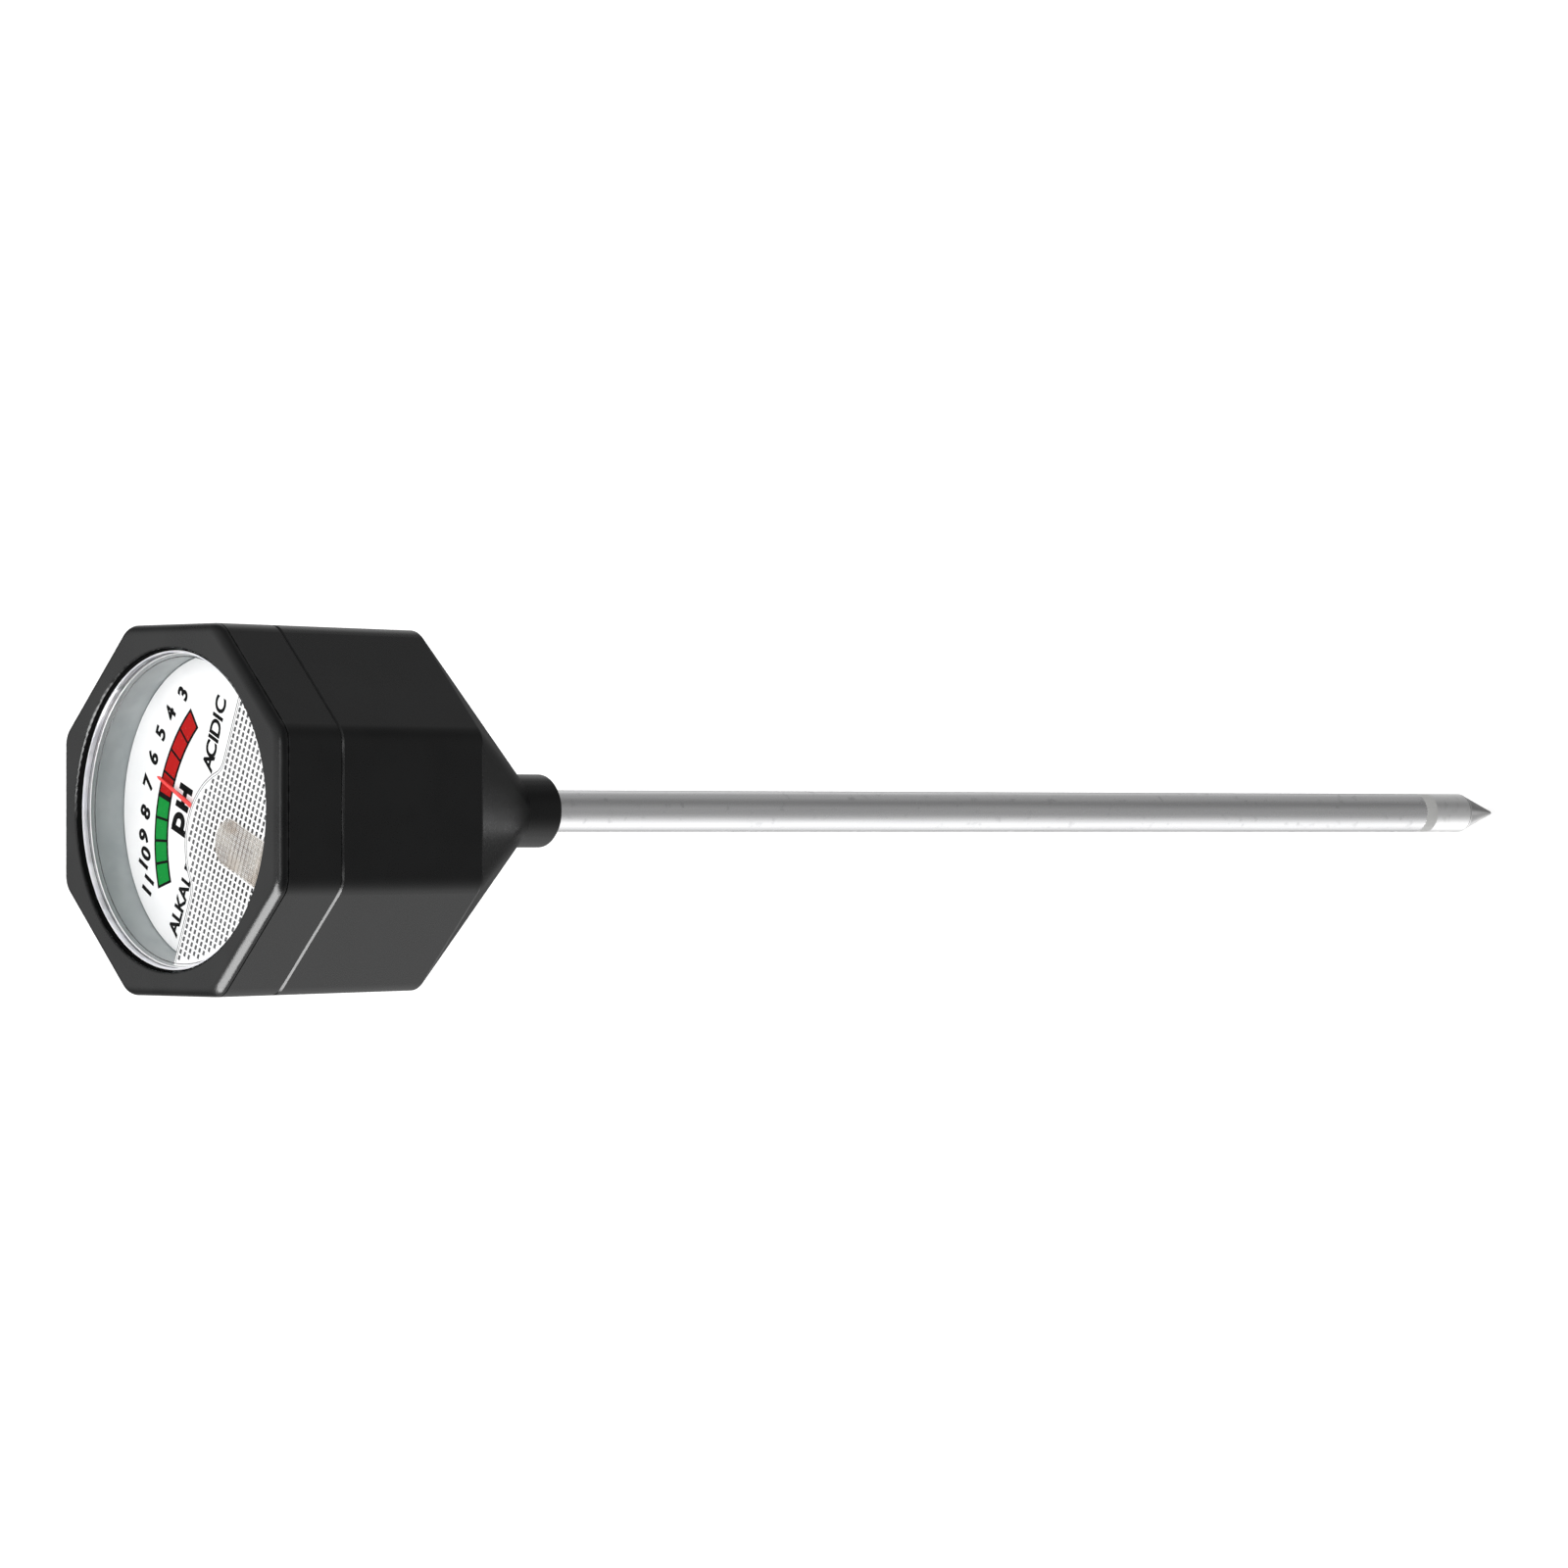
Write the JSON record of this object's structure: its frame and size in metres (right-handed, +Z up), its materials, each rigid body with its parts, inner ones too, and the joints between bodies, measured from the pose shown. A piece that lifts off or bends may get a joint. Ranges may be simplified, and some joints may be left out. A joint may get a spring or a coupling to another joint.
{
  "type": "soil ph meter",
  "caption": "Analogue soil meter with an octagonal black head, a round glazed pH dial with a red needle, and one long metal probe with a pointed tip.",
  "frame": {"origin": "the point of the probe, on the probe's axis", "axes": "+Z up the probe to the dial, the reader at -Y, +X to the reader's right"},
  "size_m": [0.056, 0.056, 0.28],
  "materials": {
    "black_abs": "fine moulded satin black",
    "clear_lens": "clear polished plastic with a moulded waffle field",
    "grey_case": "semi-gloss grey",
    "dial_white": "matt white print base",
    "frame_plastic": "cream moulded plastic",
    "plated_brass": "bright",
    "plated_steel": "zinc plated",
    "soft_iron": "dull grey",
    "magnet": "ground",
    "copper_wire": "enamelled copper",
    "spring_bronze": "bright",
    "needle_red": "bright red lacquer",
    "resistor_body": "tan lacquer",
    "lead_red": "wire insulation",
    "lead_black": "wire insulation",
    "probe_aluminium": "satin drawn tube",
    "tip_metal": "turned",
    "rod_metal": "drawn",
    "insulator": "translucent off-white"
  },
  "bodies": {
    "root": {"front_cap": "black_abs", "rear_housing": "black_abs", "clear_lens": "clear_lens", "meter_case": "grey_case", "dial_plate": "dial_white", "movement_frame": "frame_plastic", "top_bridge": "frame_plastic", "upper_jewel_screw": "plated_brass", "lower_jewel_screw": "plated_brass", "meter_terminals": "plated_brass", "solder_tag": "plated_brass", "probe_nut": "plated_brass", "dial_screws": "plated_steel", "frame_screws": "plated_steel", "bridge_screws": "plated_steel", "pointer_stops": "plated_steel", "lock_washer": "plated_steel", "yoke_ring": "soft_iron", "core_magnet": "magnet", "shunt_resistor": "resistor_body", "rod_lead": "lead_red", "tube_lead": "lead_black", "probe_tube": "probe_aluminium", "probe_tip": "tip_metal", "centre_rod": "rod_metal", "insulator_ring": "insulator", "insulating_sleeve": "insulator"},
    "pointer": {"coil_bobbin": "frame_plastic", "coil_winding": "copper_wire", "upper_staff": "plated_steel", "lower_staff": "plated_steel", "needle": "needle_red", "balance_arms": "plated_brass", "balance_weights": "plated_brass", "upper_hairspring": "spring_bronze", "lower_hairspring": "spring_bronze"},
    "zero_lever": {"zero_lever": "plated_brass"}
  },
  "joints": [
    {"name": "pointer_swing", "type": "hinge", "parent": "root", "child": "pointer", "pos_m": [-0.0064, -0.009, 0.2642], "axis": [0, 0, 1], "range_deg": [-30.7, 42.4], "stiffness_Nm_per_rad": 0.000005, "deforming": ["upper_hairspring", "lower_hairspring"]},
    {"name": "zero_adjust", "type": "hinge", "parent": "root", "child": "zero_lever", "pos_m": [-0.0064, -0.009, 0.2745], "axis": [0, 0, 1], "range_deg": [-10, 10]}
  ]
}
